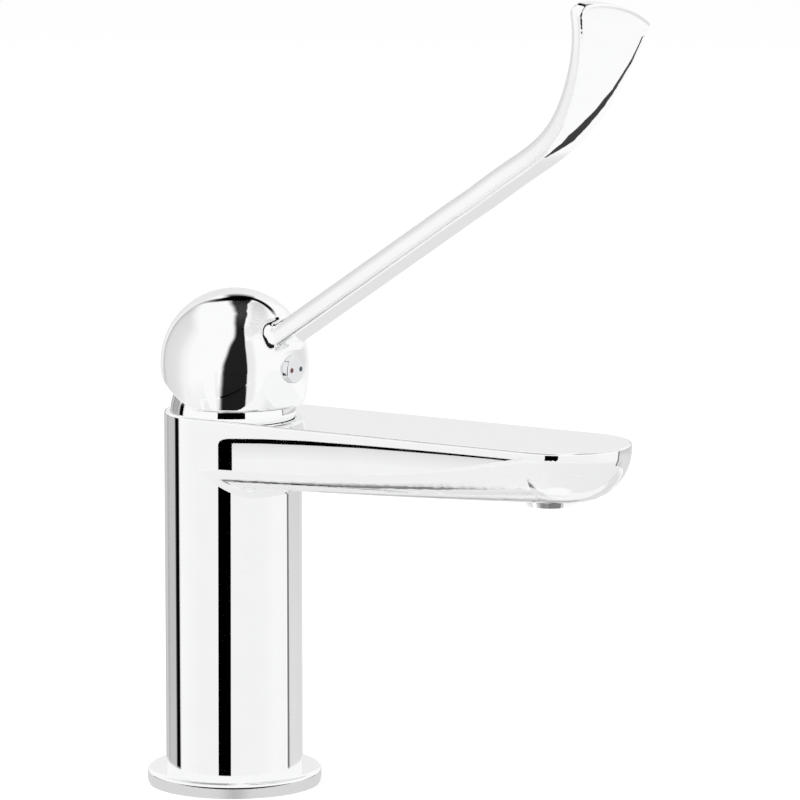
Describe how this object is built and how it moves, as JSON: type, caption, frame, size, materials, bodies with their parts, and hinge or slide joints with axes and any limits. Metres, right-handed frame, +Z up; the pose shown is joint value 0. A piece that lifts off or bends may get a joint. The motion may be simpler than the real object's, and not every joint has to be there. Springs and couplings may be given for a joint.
{
  "type": "basin mixer tap",
  "caption": "Single-lever basin mixer: round column, flat tapering spout with aerator, ball joint cap and a long paddle lever over the spout.",
  "frame": {"origin": "centre of the column's underside, in the plane of the basin's deck", "axes": "+Z up along the column, +X along the spout, +Y to the left when facing along the spout"},
  "size_m": [0.1882, 0.0667, 0.2718],
  "materials": {
    "plated_body": "chrome-plated cast brass, polished",
    "plated_handle": "chrome-plated casting, polished",
    "plated_trim": "chrome-plated, polished",
    "nut_brass": "machined, bare",
    "steel": "machined stainless",
    "disc_ceramic": "lapped",
    "cartridge_plastic": "moulded",
    "cartridge_base_plastic": "moulded",
    "grid_plastic": "moulded",
    "plug_plastic": "metallized, glossy",
    "red_mark": "enamel",
    "blue_mark": "enamel",
    "seal_rubber": "moulded"
  },
  "bodies": {
    "column": {"body": "plated_body", "base_plate": "plated_body", "base_gasket": "seal_rubber", "clamp_nut": "nut_brass", "cartridge_housing": "cartridge_plastic", "housing_seal": "seal_rubber", "cartridge_base": "cartridge_base_plastic", "inlet_seals": "seal_rubber", "fixed_disc": "disc_ceramic", "collar": "plated_trim", "collar_ring": "cartridge_base_plastic", "aerator_housing": "plated_trim", "aerator_insert": "grid_plastic", "aerator_washer": "seal_rubber"},
    "stem_carrier": {"rotor": "cartridge_plastic", "pivot_pin": "steel"},
    "disc_slide": {"moving_disc": "disc_ceramic", "disc_carrier": "cartridge_base_plastic"},
    "lever": {"handle": "plated_handle", "stem": "nut_brass", "grub_screw": "steel", "index_plug": "plug_plastic", "hot_mark": "red_mark", "cold_mark": "blue_mark"}
  },
  "joints": [
    {"name": "lever_swivel", "type": "hinge", "parent": "column", "child": "stem_carrier", "pos_m": [0, 0, 0.1245], "axis": [0, 0, 1], "range_deg": [-43.7, 56.3]},
    {"name": "lever_tilt", "type": "hinge", "parent": "stem_carrier", "child": "lever", "pos_m": [0, 0, 0.1245], "axis": [-0.1097, -0.994, 0], "range_deg": [0, 25]},
    {"name": "disc_travel", "type": "slide", "parent": "stem_carrier", "child": "disc_slide", "axis": [0.994, -0.1097, 0], "range_m": [0, 0.004]}
  ],
  "couplings": [
    {"joint": "disc_travel", "follows": "lever_tilt", "m_per_rad": 0.009}
  ]
}
